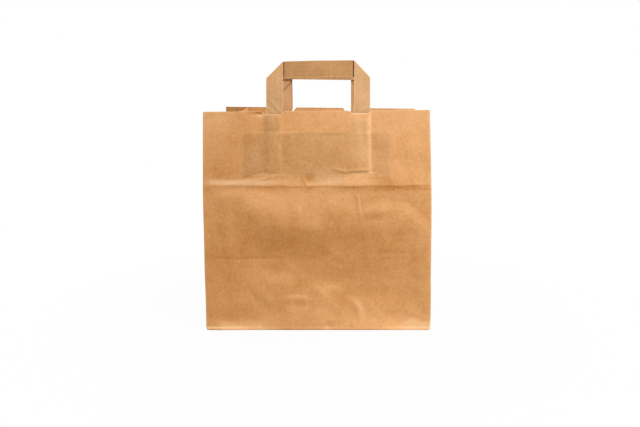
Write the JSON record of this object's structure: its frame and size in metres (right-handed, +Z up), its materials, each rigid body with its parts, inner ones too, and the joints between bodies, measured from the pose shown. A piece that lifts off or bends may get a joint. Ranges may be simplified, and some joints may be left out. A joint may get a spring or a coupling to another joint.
{
  "type": "paper carrier bag with flat tape handles",
  "caption": "Open block-bottom kraft paper bag with pinched side gussets and flat folded paper-tape handles glued inside under paper patches.",
  "frame": {"origin": "middle of the bag's bottom, on the surface it stands on", "axes": "+Z up towards the handles, +X across the front panel to the viewer's right, +Y from the front panel to the back panel"},
  "size_m": [0.26, 0.17, 0.3096],
  "materials": {
    "kraft_body": "matt brown kraft, machine-glazed outside",
    "kraft_tape": "matt brown kraft, folded tape"
  },
  "bodies": {
    "root": {"bag_body": "kraft_body", "front_handle": "kraft_tape", "back_handle": "kraft_tape", "front_patch": "kraft_body", "back_patch": "kraft_body"}
  },
  "joints": []
}
